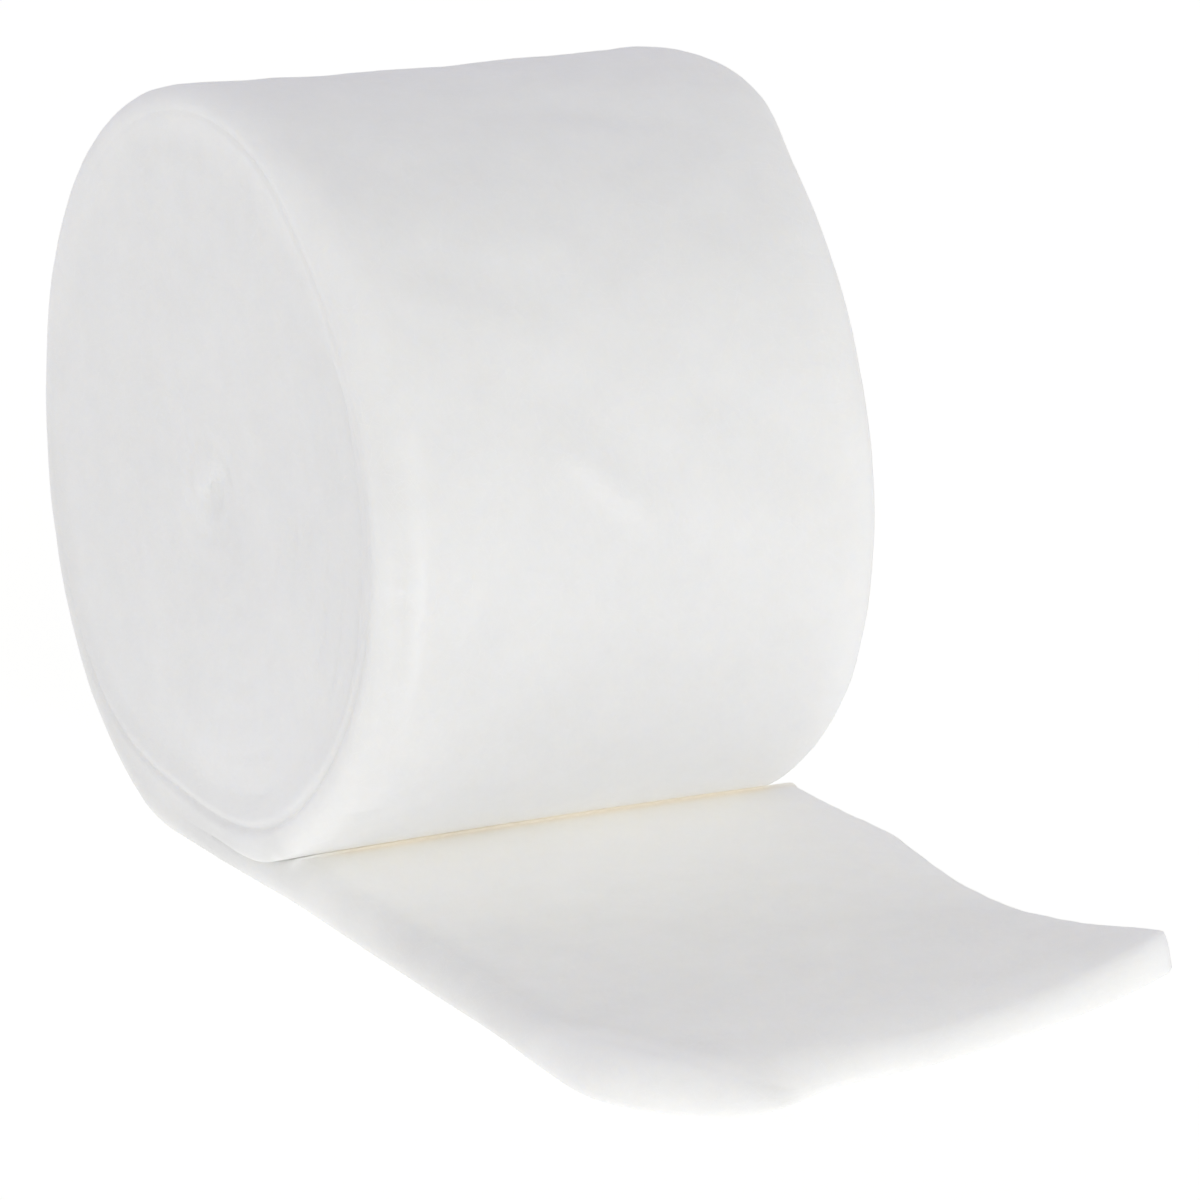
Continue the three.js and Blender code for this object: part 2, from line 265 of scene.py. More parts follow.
def fold_height(x, turn):
    arc = turn * 360 * MM_PER_DEGREE
    height = np.zeros_like(x)
    for fold in FOLD_ROWS:
        start = np.array([fold["x0"], fold["a0"] * MM_PER_DEGREE])
        way = np.array([fold["x1"], fold["a1"] * MM_PER_DEGREE]) - start
        length = math.hypot(*way)
        way = way / length
        dx = x - start[0]
        da = arc - start[1]
        along = dx * way[0] + da * way[1]
        aside = dx * way[1] - da * way[0]
        fade = smooth(-fold["wide"] * 1.5, length * 0.25, along)
        fade = fade * smooth(-fold["wide"] * 1.5, length * 0.25, length - along)
        height += fold["high"] * np.exp(-((aside / fold["wide"]) ** 2)) * fade
    return height


def make_piece(name, points, faces):
    mesh = bpy.data.meshes.new(name)
    mesh.from_pydata((np.asarray(points) * MM).tolist(), [], faces)
    mesh.validate()
    mesh.polygons.foreach_set("use_smooth", [True] * len(mesh.polygons))
    piece = bpy.data.objects.new(name, mesh)
    bpy.context.scene.collection.objects.link(piece)
    return piece


# Points that lie on each other become one, so that a surface closes along its edges, and
# the flat end across the strip at the given y keeps crisp edges
SAME_PLACE = 0.002
NO_LENGTH = 0.001
ON_END = 0.004


def close_edges(piece, end_y):
    work = bmesh.new()
    work.from_mesh(piece.data)
    bmesh.ops.remove_doubles(work, verts=work.verts, dist=SAME_PLACE * MM)
    bmesh.ops.dissolve_degenerate(work, edges=work.edges, dist=NO_LENGTH * MM)
    bmesh.ops.recalc_face_normals(work, faces=work.faces)
    for face in work.faces:
        if all(abs(vert.co.y - end_y * MM) < ON_END * MM for vert in face.verts):
            for edge in face.edges:
                edge.smooth = False
    work.to_mesh(piece.data)
    work.free()


# Quads between the columns of a grid of point numbers; turned swaps their side
def grid_faces(rows, columns, start, turned=False):
    faces = []
    for column in range(columns - 1):
        for row in range(rows - 1):
            a = start + column * rows + row
            b = a + 1
            c = a + rows + 1
            d = a + rows
            faces.append((a, b, c, d) if turned else (a, d, c, b))
    return faces


# The roll is one closed surface: at each angle its section runs from the middle of the
# near face, over the groove inside the outer turn, round the rim, along the outside and
# back to the middle of the far face. Straight below the axis the outer turn starts, and
# the step from there to the end of the turn is closed where the loose end takes over.
NEAR_END = {
    "side": 0, "push": "near", "rim": NEAR_RIM, "face": 54, "turn": 16, "strip": 8, "round": 9,
}
FAR_END = {
    "side": 1, "push": "far", "rim": FAR_RIM, "face": 28, "turn": 10, "strip": 5, "round": 8,
}
TIGHT_ROUND = 1.5
FACE_CROWDING = 1.6
STRIP_CROWDING = 1.3
STRIP_END = 0.86
GROOVE_HALF_WIDTH = 0.75

# The groove on the near face, by its radius and depth at each angle
GROOVE_ROWS = close_round([
    {"angle": 0, "radius": 60.6, "deep": 0.75},
    {"angle": 12, "radius": 61.2, "deep": 0.7},
    {"angle": 22, "radius": 63.2, "deep": 0.55},
    {"angle": 33, "radius": 65.8, "deep": 0.4},
    {"angle": 45, "radius": 68.0, "deep": 0.35},
    {"angle": 60, "radius": 68.4, "deep": 0.2},
    {"angle": 90, "radius": 67.4, "deep": 0.06},
    {"angle": 130, "radius": 66.2, "deep": 0.04},
    {"angle": 160, "radius": 65.6, "deep": 0.12},
    {"angle": 182, "radius": 66.2, "deep": 0.35},
    {"angle": 205, "radius": 66.8, "deep": 0.45},
    {"angle": 220, "radius": 65.9, "deep": 0.45},
    {"angle": 236, "radius": 66.9, "deep": 0.35},
    {"angle": 247, "radius": 68.5, "deep": 0.2},
    {"angle": 260, "radius": 69.4, "deep": 0.1},
    {"angle": 274, "radius": 68.7, "deep": 0.3},
    {"angle": 288, "radius": 66.8, "deep": 0.6},
    {"angle": 307, "radius": 63.9, "deep": 0.8},
    {"angle": 325, "radius": 62.2, "deep": 0.9},
    {"angle": 341, "radius": 61.3, "deep": 0.9},
])
FAR_GROOVE_DEPTH = 0.9
SECOND_LAP = 0.16

# By angle from where the outer turn starts: how much of the rim's round there is, and how
# much of it goes on between the first two turns
LAP_ROWS = [
    {"angle": 0, "round": 1.0, "crevice": 0.03},
    {"angle": 10, "round": 1.0, "crevice": 0.02},
    {"angle": 24, "round": 1.0, "crevice": 0.012},
    {"angle": 45, "round": 1.0, "crevice": 0.005},
    {"angle": 62, "round": 1.0, "crevice": 0.0},
    {"angle": 296, "round": 1.0, "crevice": 0.0},
    {"angle": 318, "round": 0.74, "crevice": 0.0},
    {"angle": 336, "round": 0.22, "crevice": 0.0},
    {"angle": 349, "round": 0.07, "crevice": 0.0},
    {"angle": 360, "round": 0.04, "crevice": 0.0},
]
CREVICE_LIP = 0.6
CALM_HEIGHTS = (9, 24)


def end_groove(turn, end):
    if end["side"] == 0:
        radius = read_table(GROOVE_ROWS, "angle", "radius", turn * 360)
        return radius, read_table(GROOVE_ROWS, "angle", "deep", turn * 360)
    inner = first_lap(turn, 1) - layer_at(turn)
    radius = inner - layer_at(turn) * (1 - smooth(0, SECOND_LAP, turn))
    return radius, np.full_like(turn, FAR_GROOVE_DEPTH)


# A round of the given width and depth, by the distance from where it turns over
def quarter_round(distance, deep, along):
    t = np.clip(1 - distance / deep, 0, 1)
    return along * (1 - np.sqrt(np.maximum(1 - t * t, 0)))


# How deep the end of the roll lies at a radius, from the plane of the strip's edge. The
# face is sunk most towards the low front, where the outer turn stands proud of it.
def end_inset(turn, radius, line, end):
    groove = line["groove"][:, None]
    sunk = 0.35 + 0.65 * smooth(-0.4, 0.6, towards(turn, LOW_FRONT))
    inset = FACE_INSET * sunk * (1 - smooth(-6.0, 0.4, radius - groove))
    inset += DISH_DEPTH * (1 - smooth(0, 0.8 * CORE_RADIUS, radius))
    inset += line["deep"][:, None] * np.exp(-(((radius - groove) / GROOVE_HALF_WIDTH) ** 2))
    inner = line["inner"][:, None]
    rounded = quarter_round(inner - radius, line["crevice_round"][:, None], end["rim"]["along"])
    lip = 1 - smooth(0, CREVICE_LIP, radius - inner)
    crevice = np.where(radius < inner, rounded, end["rim"]["along"] * lip)
    inset += crevice * read_table(LAP_ROWS, "angle", "crevice", turn * 360)
    along = line["along"][:, None]
    return inset + quarter_round(line["outer"][:, None] - radius, line["rounded"][:, None], along)


# Felted unevenness of an end face, with faint arcs where the turns meet and a small swirl
# in the middle
ARC_DEPTH = 0.3
ARC_HALF_WIDTH = 0.1
ARC_DRIFT = 0.14
HEART_RADIUS = 12
HEART_FELT = 1.8
SWIRL_HEIGHT = 0.3
SWIRL_TIGHTNESS = 1.1


def face_relief(turn, radius, side):
    y = radius * np.sin(turn * 2 * np.pi)
    z = -radius * np.cos(turn * 2 * np.pi)
    flat = np.stack([y, z, np.full_like(y, 40.0 * side)], axis=-1).reshape(-1, 3)
    felt = uneven(flat, FACE_FELT).reshape(y.shape)
    drift = uneven(flat, FACE_DRIFT).reshape(y.shape)
    lap = (START_RADIUS - radius) / LAYER - turn + ARC_DRIFT * drift
    off = np.abs(lap - np.round(lap))
    groove = np.exp(-((off / ARC_HALF_WIDTH) ** 2)) * smooth(10, 26, radius)
    low = 0.25 + 0.75 * smooth(-0.1, 0.9, towards(turn, LOW_FRONT))
    arcs = ARC_DEPTH * groove * low * smooth(-0.5, 0.6, drift + 0.2)
    heart = np.exp(-((radius / HEART_RADIUS) ** 2))
    swirl = np.sin(radius * SWIRL_TIGHTNESS - turn * 2 * np.pi) * heart * smooth(0.5, 6, radius)
    return felt * (1 + HEART_FELT * heart) - arcs + SWIRL_HEIGHT * swirl


# The lines that divide one end at every angle: the groove, the inner edge of the outer
# turn, the outer surface, and how far the rim's round reaches in and along
def end_lines(turns, end):
    rim = end["rim"]
    outer = first_lap(turns, end["side"])
    inner = outer - layer_at(turns)
    groove, deep = end_groove(turns, end)
    reach = rim["share"] * layer_at(turns)
    rounded = np.minimum(reach, np.maximum(outer - groove - 0.15, TIGHT_ROUND))
    ending = smooth(STRIP_END, 1, turns)
    turn_edge = np.maximum(inner, groove + 0.3)
    return {
        "groove": groove,
        "deep": deep,
        "inner": inner,
        "outer": outer,
        "rounded": rounded,
        "crevice_round": np.minimum(reach, np.maximum(inner - groove - 0.15, 0.5)),
        "along": rim["along"] * read_table(LAP_ROWS, "angle", "round", turns * 360),
        "turn_edge": turn_edge + (outer - turn_edge) * ending,
    }


# Rows of one end at every angle, from its middle to the outer surface
def end_rows(turns, end):
    line = end_lines(turns, end)
    groove = line["groove"][:, None]
    edge = line["turn_edge"][:, None]
    outer = line["outer"][:, None]
    face = 1 - (1 - np.linspace(0, 1, end["face"], endpoint=False)) ** FACE_CROWDING
    lap = np.linspace(0, 1, end["turn"], endpoint=False) ** STRIP_CROWDING
    strip = np.linspace(0, 1, end["strip"], endpoint=False)
    last = np.minimum(line["rounded"], line["outer"] - line["turn_edge"])[:, None]
    bend = np.linspace(0, math.pi / 2, end["round"] + 1)
    radius = np.concatenate([
        groove * face,
        groove + (edge - groove) * lap,
        edge + (outer - last - edge) * strip,
        outer - last * (1 - np.sin(bend)),
    ], axis=1)
    turn = np.repeat(turns[:, None], radius.shape[1], axis=1)
    inset = end_inset(turn, radius, line, end)
    fade = (1 - 0.8 * smooth(-3, 0.5, radius - groove)) * smooth(0, 2, outer - radius)
    inset -= face_relief(turn, radius, end["side"]) * fade
    push = by_angle(end["push"], turns)[:, None]
    inset -= push * smooth(CORE_RADIUS - 8, CORE_RADIUS + 6, radius)
    x = inset - STRIP_WIDTH / 2
    if end["side"] == 1:
        x = -x
    swell = first_lap(turn, side_share(x)) - outer
    skin = smooth(1.5 * LAYER, 0, outer - radius)
    return x, radius + swell * skin


# Places around the axis of the roll, as one list of points
def around(x, radius, angle):
    y = radius * np.sin(angle)
    z = CENTRE_HEIGHT - radius * np.cos(angle)
    return np.stack([x, y, z], axis=-1).reshape(-1, 3)


# Folds and soft waves in the outside, which is still where it rests
def waved(x, radius, turn):
    skin = np.clip(1 - (first_lap(turn, side_share(x)) - radius) / LAYER, 0, 1)
    points = around(x, radius, turn * 2 * np.pi)
    calm = smooth(*CALM_HEIGHTS, points[:, 2]) * skin.reshape(-1)
    wave = (uneven(points, SIDE_WAVES) * calm).reshape(x.shape)
    aside = (uneven(points, WIDTH_WAVES) * calm).reshape(x.shape)
    return x + aside, radius + (wave + fold_height(x, turn) * skin ** 2)


def wound_roll():
    turns = np.linspace(0, 1, ROLL_STEPS + 1)
    near_x, near_radius = end_rows(turns, NEAR_END)
    far_x, far_radius = end_rows(turns, FAR_END)
    share = np.linspace(0, 1, SIDE_STEPS + 1)[None, 1:-1]
    side_x = near_x[:, -1:] + (far_x[:, -1:] - near_x[:, -1:]) * share
    side_turn = np.repeat(turns[:, None], side_x.shape[1], axis=1)
    side_radius = first_lap(side_turn, side_share(side_x))
    x = np.concatenate([near_x, side_x, far_x[:, ::-1]], axis=1)
    radius = np.concatenate([near_radius, side_radius, far_radius[:, ::-1]], axis=1)
    turn = np.repeat(turns[:, None], x.shape[1], axis=1)
    x, radius = waved(x, radius, turn)
    points = around(x, radius, turn * 2 * np.pi)
    rows = x.shape[1]
    faces = grid_faces(rows, len(turns), 0)
    last = ROLL_STEPS * rows
    faces += [(last + row, row, row + 1, last + row + 1) for row in range(rows - 1)]
    piece = make_piece("roll", points, faces)
    close_edges(piece, 0)
    return piece


# The loose end: an inflated sheet, whose thickness runs out at its edges in a round. Its
# section at the roll is the strip's own, and further out its edges rest on the floor.
EDGE_ROWS = [
    {"run": 0, "near_edge": 0.4, "far_edge": 0.6, "near_under": 5.5, "far_under": 9.0,
     "low": 0.7, "upright": 0.2},
    {"run": 12, "near_edge": 1.8, "far_edge": 2.0, "near_under": 4.8, "far_under": 6.0,
     "low": 0.58, "upright": 0.1},
    {"run": 32, "near_edge": 3.2, "far_edge": 3.0, "near_under": 3.0, "far_under": 3.0,
     "low": 0.42, "upright": 0.0},
    {"run": 60, "near_edge": 3.8, "far_edge": 3.0, "near_under": 2.0, "far_under": 2.2,
     "low": 0.3, "upright": 0.0},
    {"run": 125, "near_edge": 4.4, "far_edge": 2.0, "near_under": 1.6, "far_under": 1.4,
     "low": 0.24, "upright": 0.0},
    {"run": 156, "near_edge": 9.0, "far_edge": 1.0, "near_under": 1.2, "far_under": 0.8,
     "low": 0.15, "upright": 0.0},
]
FRONT_UNDER = 1.2
SEAM_GAP = 0.03
CONTACT_GAP = 0.03
CREASE_STEP = 0.38
CREASE_FALL = 0.15
STEP_STARTS = (-45.5, -41)
CREASE_RUNS = (27.4, 33.6)
CREASE_STEPS = 42
RUN_CROWDING = 1.35
EDGE_CROWDING = 0.75
ROOF_MARGIN = 4
FRONT_SPAN = (-52, 58)


def underside(run, side):
    turn = np.ones_like(run)
    for _ in range(5):
        turn = 1 - np.arcsin(np.clip(run / first_lap(turn, side), 0, 1)) / (2 * np.pi)
    return CENTRE_HEIGHT - first_lap(turn, side) * np.cos(turn * 2 * np.pi)


def round_off(distance, width):
    t = np.clip(1 - distance / width, 0, 1)
    return np.sqrt(np.maximum(1 - t * t, 0))


def sheet_at(run, column):
    return read_table(SHEET_ROWS, "run", column, run)


# Places on the sheet, as its run and its share of the width: closer together towards the
# edges, the cut end and the crease
def sheet_places():
    lengths = 1 - (1 - np.linspace(0, 1, SHEET_RUNS)) ** RUN_CROWDING
    run = SEAM_GAP + (LOOSE_LENGTH - SEAM_GAP) * lengths
    run = np.union1d(run, np.linspace(*CREASE_RUNS, CREASE_STEPS))
    even = np.linspace(0, 1, SHEET_SPANS)
    share = EDGE_CROWDING * (0.5 - 0.5 * np.cos(np.pi * even)) + (1 - EDGE_CROWDING) * even
    return np.meshgrid(run, share, indexing="ij")


# Thickness of the sheet: as much as fits under the roll, then a low step where the two
# part, and its own thickness with soft waves from there on
def sheet_thickness(run, share, x):
    thick = through(
        sheet_at(run, "near_thick"), sheet_at(run, "mid_thick"), sheet_at(run, "far_thick"), share
    )
    flat = np.stack([x, run, np.zeros_like(x)], axis=-1).reshape(-1, 3)
    thick = thick + uneven(flat, SHEET_WAVES).reshape(x.shape) * smooth(30, 60, run)
    roof = underside(np.clip(run, 0, ROOF_RUN + ROOF_MARGIN), share) - CONTACT_GAP
    gap = roof - thick
    step = np.maximum(gap, 0) * (1 - smooth(CREASE_STEP, CREASE_STEP + CREASE_FALL, gap))
    step = step * smooth(*STEP_STARTS, x)
    return np.where(run < ROOF_RUN, np.minimum(thick, roof) + step, thick)


# Heights of the sheet's upper and lower side, which its edges round off
def sheet_heights(run, share, x):
    near = sheet_at(run, "near")
    far = sheet_at(run, "far")
    lift = np.maximum(through(0, sheet_at(run, "mid_lift"), sheet_at(run, "far_lift"), share), 0)
    thick = sheet_thickness(run, share, x)
    edge = {column: read_table(EDGE_ROWS, "run", column, run) for column in EDGE_ROWS[0]}
    front = read_table(FRONT_ROWS, "across", "roll_off", np.clip(x, *FRONT_SPAN))
    ends = round_off(LOOSE_LENGTH - run, front)
    sides = round_off(x - near, edge["near_edge"]) * round_off(far - x, edge["far_edge"])
    under = round_off(x - near, edge["near_under"]) * round_off(far - x, edge["far_under"])
    under = under * round_off(LOOSE_LENGTH - run, FRONT_UNDER)
    high = edge["low"] + np.maximum(edge["upright"], 0)
    top = lift + thick * (high + (1 - high) * ends * sides)
    bottom = lift + thick * edge["low"] * (1 - under)
    return top, bottom


def loose_end():
    run, share = sheet_places()
    near = sheet_at(run, "near")
    far = sheet_at(run, "far")
    x = near + (far - near) * share
    top, bottom = sheet_heights(run, share, x)
    bow = read_table(FRONT_ROWS, "across", "bow", np.clip(x, *FRONT_SPAN))
    y = -run - bow * np.clip(run / LOOSE_LENGTH, 0, 1) ** BOW_POWER
    upper = np.stack([x, y, top], axis=-1).reshape(-1, 3)
    lower = np.stack([x, y, bottom], axis=-1).reshape(-1, 3)
    count = x.size
    columns, rows = x.shape
    faces = grid_faces(rows, columns, 0)
    faces += grid_faces(rows, columns, count, turned=True)
    for column in range(columns - 1):
        for corner, turned in ((column * rows, False), (column * rows + rows - 1, True)):
            edge_face = (corner, corner + rows, corner + rows + count, corner + count)
            faces.append(edge_face[::-1] if turned else edge_face)
    back = list(range(rows))
    faces.append(tuple(back) + tuple(number + count for number in reversed(back)))
    piece = make_piece("loose_sheet", np.concatenate([upper, lower]), faces)
    close_edges(piece, -SEAM_GAP)
    return piece


# Fine cotton fibres that lie on the surface, each a narrow ribbon with a soft bend
FIBRE_STEPS = 6
FIBRE_WIDTH = 0.038
FIBRE_TILT = 0.35
FIBRE_LENGTHS = (4.0, 13.0)
FIBRE_RISES = (0.01, 0.12)
FIBRE_CURL = 0.55
FIBRE_BEND = (0.1, 0.6)
FIBRE_ARCH = 0.6
FIBRE_TAPER = 0.6
FIBRE_CLEARANCE = 0.02


# Corners of a piece and of its triangles, in millimetres
def surface_of(piece):
    mesh = piece.data
    mesh.calc_loop_triangles()
    corner = np.empty(len(mesh.loop_triangles) * 3, int)
    mesh.loop_triangles.foreach_get("vertices", corner)
    place = np.empty(len(mesh.vertices) * 3)
    mesh.vertices.foreach_get("co", place)
    return place.reshape(-1, 3) / MM, corner.reshape(-1, 3)


# Where the fibres start: anywhere on the surface, by its area
def fibre_roots(place, corner, count, rng):
    a, b, c = (place[corner[:, i]] for i in range(3))
    area = np.linalg.norm(np.cross(b - a, c - a), axis=1)
    chosen = rng.choice(len(area), size=count, p=area / area.sum())
    u, v = rng.random((2, count))
    flip = u + v > 1
    u = np.where(flip, 1 - u, u)
    v = np.where(flip, 1 - v, v)
    return a[chosen] + (b - a)[chosen] * u[:, None] + (c - a)[chosen] * v[:, None]


# The two edges of one fibre, step by step, as it creeps over the surface
def fibre_points(root, tree, rng):
    length = rng.uniform(*FIBRE_LENGTHS)
    way = Vector(rng.normal(size=3))
    curl = rng.normal(0, FIBRE_CURL)
    rise = rng.uniform(*FIBRE_RISES)
    lean = rng.uniform(-1, 1)
    spot = Vector(root)
    points = []
    for step in range(FIBRE_STEPS + 1):
        near_spot, normal, _, _ = tree.find_nearest(spot)
        way = way - normal * way.dot(normal)
        way.normalize()
        aside = normal.cross(way)
        share = step / FIBRE_STEPS
        arch = math.sin(math.pi * share) * FIBRE_ARCH + max(lean, 0) * share ** 3
        centre = near_spot + normal * (FIBRE_CLEARANCE + rise * arch)
        centre.z = max(centre.z, FIBRE_WIDTH)
        half = aside * (FIBRE_WIDTH / 2 * (1 - FIBRE_TAPER * abs(2 * share - 1)))
        tilt = normal * (FIBRE_WIDTH / 2 * FIBRE_TILT * lean)
        points += [centre - half - tilt, centre + half + tilt]
        way = way + aside * curl * rng.uniform(*FIBRE_BEND)
        spot = near_spot + way * (length / FIBRE_STEPS)
    return points


def fibres(name, carrier, count, seed):
    rng = np.random.default_rng(seed)
    place, corner = surface_of(carrier)
    roots = fibre_roots(place, corner, count, rng)
    tree = BVHTree.FromPolygons(place.tolist(), corner.tolist())
    points = []
    faces = []
    for root in roots:
        first = len(points)
        points += fibre_points(root, tree, rng)
        last = len(points) - 2
        faces += [(start, start + 1, start + 3, start + 2) for start in range(first, last, 2)]
    return make_piece(name, [tuple(point) for point in points], faces)


# The cotton's tone at each point, with painted light in it: painted paler and warmer towards
# the crease between the roll and the loose end, as painted light in place of the light that goes
# through the cotton many times there. The fourth value is how far light goes into the cotton,
# which is nothing where the two pieces meet.
CREASE_ROWS = [
    {"across": -46, "run": 28.2, "height": 9.0},
    {"across": -16, "run": 29.4, "height": 9.5},
    {"across": 4, "run": 30.1, "height": 9.8},
    {"across": 30, "run": 31.0, "height": 9.9},
    {"across": 54, "run": 31.8, "height": 9.8},
]
CREASE_SPAN = (-50, 58)
PLAIN_TONE = np.array((0.90, 0.90, 0.896))
# Painted light: the cotton is painted paler towards the crease, in place of the light bouncing in
# it
CREASE_PAINTED_LIGHT = np.array((0.985, 0.983, 0.972))
# Painted light along the crease line itself: paler than the plain tone, and tan where warm,
# standing in for the light scattered there
CREASE_LINE_PAINTED_LIGHT = np.array((0.975, 0.945, 0.885))
CREASE_LINE_PAINTED_LIGHT_PALE = np.array((0.99, 0.99, 0.985))
WARM_FROM = -44.0
WARM_TO = -32.0
CREASE_REACH = 36.0
CREASE_WIDENS = 16.0
LINE_REACH = 1.7
SEAM_CALM = 3.0
SEAM_REACH = 16.0
CREASE_CALM = 0.6
CREASE_SINK = 9.0
# Painted shade along the near edge, on the rim where it turns and on the sheet's edge
EDGE_PAINTED_SHADE = 0.07
EDGE_REACH = 9.0
# Painted light on the rounded near corner of the cut end
LOBE_PAINTED_LIGHT = 0.09


# How near a point lies to the strip's near edge, where shade is painted: 1 at the edge
def near_edge_painted_shade(x, y, z):
    on_sheet = smooth(0, 6, -y) * smooth(24, 12, z)
    line = read_table(SHEET_ROWS, "run", "near", np.clip(-y, 0, LOOSE_LENGTH))
    edge = np.where(on_sheet > 0, line, -STRIP_WIDTH / 2)
    close = 1 - smooth(1, EDGE_REACH, x - edge)
    turn = (np.arctan2(y, CENTRE_HEIGHT - z) / (2 * np.pi)) % 1.0
    low = np.maximum(smooth(0.62, 0.72, turn), smooth(0.34, 0.2, turn))
    turned = smooth(60, 70, np.hypot(y, z - CENTRE_HEIGHT)) * low
    return close * np.maximum(turned, on_sheet * (0.3 + 0.6 * smooth(15, 35, -y)))


# How far a point lies out on the rounded near corner of the cut end, where light is painted
def near_lobe_painted_light(x, run):
    shoulder = 122 + 1.75 * (x + 44)
    return smooth(-7, 6, run - shoulder) * smooth(100, 116, run)


# The tone of the cotton, by its place and its distance from the line of the crease, with
# painted light at the crease and on the near corner of the cut end, and painted shade along
# the near edge
def tone_at(x, y, z, away):
    reach = CREASE_REACH + CREASE_WIDENS * smooth(-20, 40, x)
    glow = np.exp(-((away / reach) ** 2))[:, None]
    line = np.exp(-((away / LINE_REACH) ** 2))[:, None]
    warm = smooth(WARM_FROM, WARM_TO, x)[:, None]
    line_tone = CREASE_LINE_PAINTED_LIGHT_PALE * (1 - warm) + CREASE_LINE_PAINTED_LIGHT * warm
    tone = PLAIN_TONE * (1 - glow) + CREASE_PAINTED_LIGHT * glow
    # Painted shade along the near edge, then painted light on the near corner of the cut end
    tone = tone * (1 - EDGE_PAINTED_SHADE * near_edge_painted_shade(x, y, z))[:, None]
    tone = tone * (1 + LOBE_PAINTED_LIGHT * near_lobe_painted_light(x, -y))[:, None]
    return tone * (1 - line) + line_tone * line


# Gives a piece its tone with its painted light and shade: sinks is how far light goes into it,
# and the last value brings it near white as painted light
def tint(piece, sinks, painted_light):
    mesh = piece.data
    place = np.empty(len(mesh.vertices) * 3)
    mesh.vertices.foreach_get("co", place)
    x, y, z = (place.reshape(-1, 3) / MM).T
    along = np.clip(x, *CREASE_SPAN)
    crease_run = read_table(CREASE_ROWS, "across", "run", along)
    crease_height = read_table(CREASE_ROWS, "across", "height", along)
    away = np.hypot(y + crease_run, z - crease_height)
    tone = tone_at(x, y, z, away)
    # Painted light: the tone is lifted towards white, for the fibres against the shade they get
    tone = tone + (1 - tone) * painted_light
    to_seam = np.hypot(y, np.maximum(z - PRESSED_LAYER, 0))
    depth = sinks * smooth(SEAM_CALM, SEAM_REACH, to_seam)
    depth = depth * smooth(CREASE_CALM, CREASE_SINK, away)
    colour = np.concatenate([tone, depth[:, None]], axis=1)
    layer = mesh.color_attributes.new("tone", "FLOAT_COLOR", "POINT")
    layer.data.foreach_set("color", colour.astype(np.float32).ravel())


# Materials
def cotton_material(name):
    material = bpy.data.materials.new(name)
    material.use_nodes = True
    nodes = material.node_tree.nodes
    links = material.node_tree.links
    shader = nodes["Principled BSDF"]
    shader.inputs["Roughness"].default_value = 0.95
    shader.inputs["Specular IOR Level"].default_value = 0.12
    shader.inputs["Subsurface Radius"].default_value = (1.0, 0.95, 0.86)
    shader.inputs["Subsurface Scale"].default_value = 0.006
    shader.inputs["Sheen Weight"].default_value = 0.12
    shader.inputs["Sheen Roughness"].default_value = 0.6
    place = nodes.new("ShaderNodeTexCoord")
    cloud = nodes.new("ShaderNodeTexNoise")
    cloud.inputs["Scale"].default_value = 62
    cloud.inputs["Detail"].default_value = 5
    cloud.inputs["Roughness"].default_value = 0.68
    links.new(place.outputs["Object"], cloud.inputs["Vector"])
    tone = nodes.new("ShaderNodeValToRGB")
    tone.color_ramp.elements[0].position = 0.32
    tone.color_ramp.elements[0].color = (0.968, 0.968, 0.968, 1)
    tone.color_ramp.elements[1].position = 0.68
    tone.color_ramp.elements[1].color = (1, 1, 1, 1)
    links.new(cloud.outputs["Fac"], tone.inputs["Fac"])
    own = nodes.new("ShaderNodeVertexColor")
    own.layer_name = "tone"
    both = nodes.new("ShaderNodeVectorMath")
    both.operation = "MULTIPLY"
    links.new(own.outputs["Alpha"], shader.inputs["Subsurface Weight"])
    links.new(own.outputs["Color"], both.inputs[0])
    links.new(tone.outputs["Color"], both.inputs[1])
    links.new(both.outputs["Vector"], shader.inputs["Base Color"])
    grain = nodes.new("ShaderNodeTexNoise")
    grain.inputs["Scale"].default_value = 900
    grain.inputs["Detail"].default_value = 1.5
    links.new(place.outputs["Object"], grain.inputs["Vector"])
    bump = nodes.new("ShaderNodeBump")
    bump.inputs["Strength"].default_value = 0.35
    bump.inputs["Distance"].default_value = 0.0003
    links.new(grain.outputs["Fac"], bump.inputs["Height"])
    links.new(bump.outputs["Normal"], shader.inputs["Normal"])
    return material


# Studio: camera at the photograph's angle, pale floor, soft light
CAMERA_PLACE = (-0.4320, -0.8719, 0.3061)
CAMERA_AZIMUTH = -27.93
CAMERA_ELEVATION = 15.12
CAMERA_LENS = 167.07
FLOOR_HALF = 3000.0
FLOOR_HEIGHT = -0.05


def make_camera():
    data = bpy.data.cameras.new("camera")
    data.lens = CAMERA_LENS
    data.sensor_width = 36
    data.clip_start = 0.05
    data.clip_end = 20
    camera = bpy.data.objects.new("camera", data)
    azimuth = math.radians(CAMERA_AZIMUTH)
    elevation = math.radians(CAMERA_ELEVATION)
    ahead = Vector((
        -math.sin(azimuth) * math.cos(elevation),
        math.cos(azimuth) * math.cos(elevation),
        -math.sin(elevation),
    ))
    camera.location = CAMERA_PLACE
    camera.rotation_mode = "QUATERNION"
    camera.rotation_quaternion = ahead.to_track_quat("-Z", "Y")
    bpy.context.scene.collection.objects.link(camera)
    bpy.context.scene.camera = camera


def floor_material():
    material = bpy.data.materials.new("floor")
    material.use_nodes = True
    nodes = material.node_tree.nodes
    shader = nodes["Principled BSDF"]
    shader.inputs["Base Color"].default_value = (0.25, 0.25, 0.25, 1)
    shader.inputs["Roughness"].default_value = 1.0
    shader.inputs["Specular IOR Level"].default_value = 0.0
    shader.inputs["Emission Color"].default_value = (1.0, 1.0, 0.985, 1)
    shader.inputs["Emission Strength"].default_value = 0.84
    return material


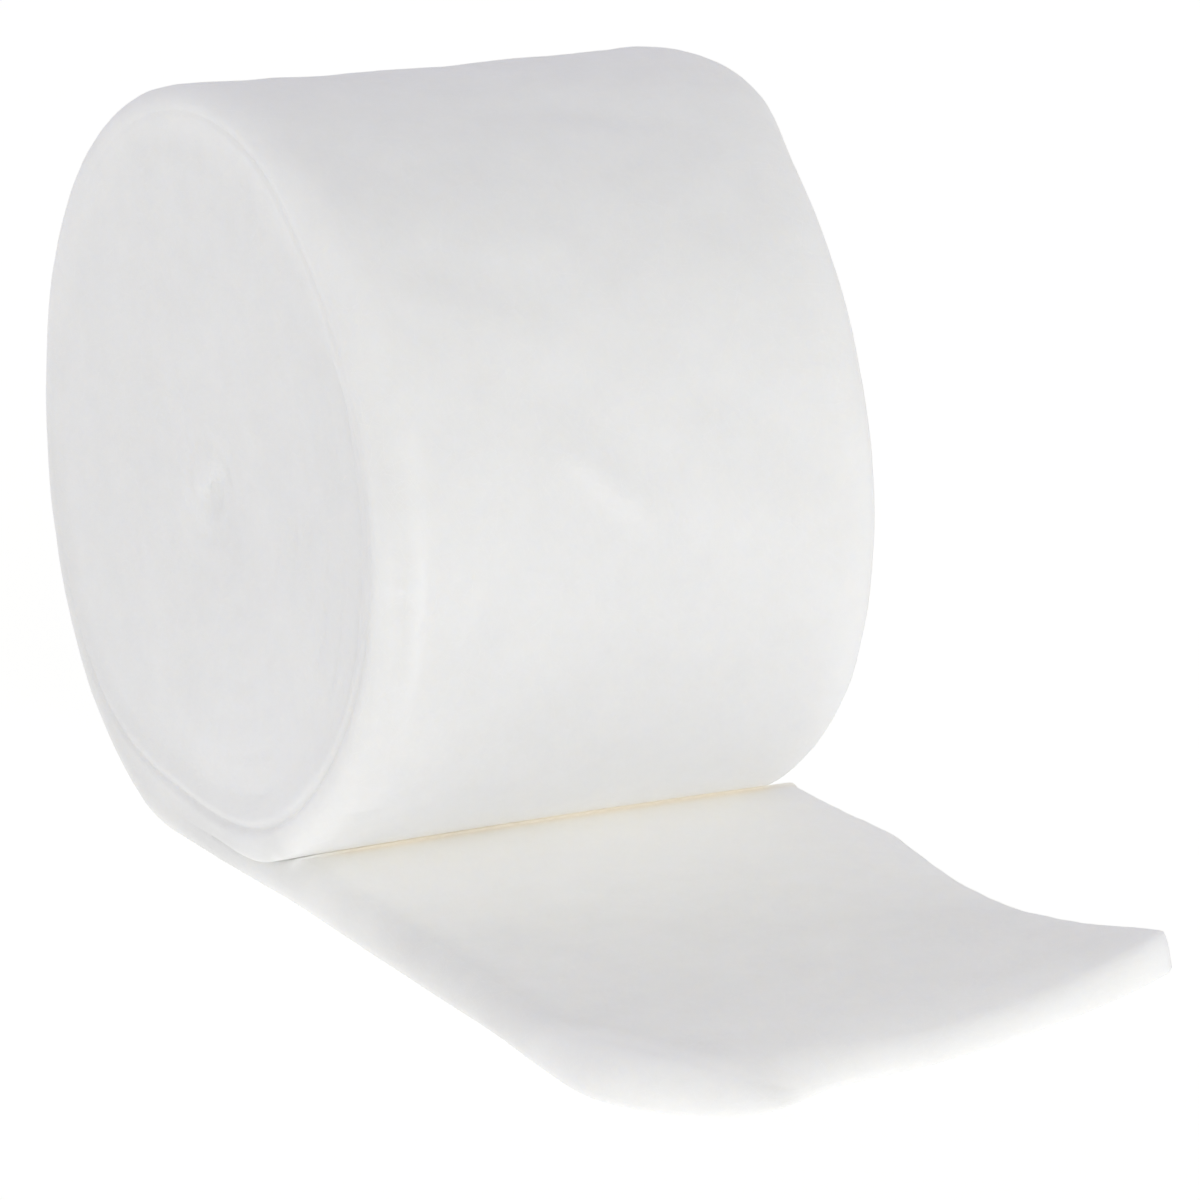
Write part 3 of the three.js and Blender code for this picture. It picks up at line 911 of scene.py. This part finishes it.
def make_floor():
    half = FLOOR_HALF
    low = FLOOR_HEIGHT
    corners = [(-half, -half, low), (half, -half, low), (half, half, low), (-half, half, low)]
    floor = make_piece("floor", corners, [(0, 1, 2, 3)])
    floor.data.materials.append(floor_material())


# The sky's light by the side it comes from: each side is a soft lobe, which is narrower
# with a higher power
SKY_SIDES = [
    {"toward": (0, -0.995, 0.1), "colour": (1, 1, 1), "strength": 2.5, "power": 12},
    {"toward": (0, -0.707, 0.707), "colour": (1, 1, 1), "strength": 0.81, "power": 6},
    {"toward": (0, 0, 1), "colour": (1, 1, 1), "strength": 0.338, "power": 2},
    {"toward": (0, 0.6, 0.8), "colour": (0.98, 0.95, 1.15), "strength": 0.347, "power": 5},
    {"toward": (0, 1, 0), "colour": (0.98, 0.96, 1.09), "strength": 0.736, "power": 2},
    {"toward": (-1, 0, 0), "colour": (1, 1, 1), "strength": 0.634, "power": 2},
    {"toward": (1, 0, 0), "colour": (1, 1, 1), "strength": 0.455, "power": 2},
]


def make_light():
    world = bpy.data.worlds.new("studio")
    world.use_nodes = True
    nodes = world.node_tree.nodes
    links = world.node_tree.links
    place = nodes.new("ShaderNodeTexCoord")
    total = None
    for side in SKY_SIDES:
        facing = nodes.new("ShaderNodeVectorMath")
        facing.operation = "DOT_PRODUCT"
        facing.inputs[1].default_value = side["toward"]
        links.new(place.outputs["Generated"], facing.inputs[0])
        half = nodes.new("ShaderNodeMath")
        half.operation = "MAXIMUM"
        half.inputs[1].default_value = 0.0
        links.new(facing.outputs["Value"], half.inputs[0])
        lobe = nodes.new("ShaderNodeMath")
        lobe.operation = "POWER"
        lobe.inputs[1].default_value = side["power"]
        links.new(half.outputs["Value"], lobe.inputs[0])
        light = nodes.new("ShaderNodeVectorMath")
        light.operation = "SCALE"
        light.inputs[0].default_value = [value * side["strength"] for value in side["colour"]]
        links.new(lobe.outputs["Value"], light.inputs["Scale"])
        if total:
            both = nodes.new("ShaderNodeVectorMath")
            both.operation = "ADD"
            links.new(total.outputs["Vector"], both.inputs[0])
            links.new(light.outputs["Vector"], both.inputs[1])
            total = both
        else:
            total = light
    links.new(total.outputs["Vector"], nodes["Background"].inputs["Color"])
    bpy.context.scene.world = world
    bpy.context.scene.view_settings.view_transform = "Standard"
    bpy.context.scene.cycles.diffuse_bounces = 24
    bpy.context.scene.cycles.max_bounces = 24


def show(piece, material, *nodes, sinks=1.0, painted_light=0.0):
    tint(piece, sinks, painted_light)
    piece.data.materials.append(material)
    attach(piece, "root")
    if nodes:
        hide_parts(*nodes)


def build():
    make_camera()
    make_floor()
    make_light()
    cotton = cotton_material("cotton")
    roll = wound_roll()
    sheet = loose_end()
    show(roll, cotton, "wound_roll")
    show(sheet, cotton, "loose_end")
    # The fibres are painted paler, as painted light against the shade they cast and get
    show(fibres("roll_fibres", roll, 10000, 3), cotton, sinks=0.0, painted_light=0.4)
    show(fibres("sheet_fibres", sheet, 5000, 5), cotton, sinks=0.0, painted_light=0.4)


build()
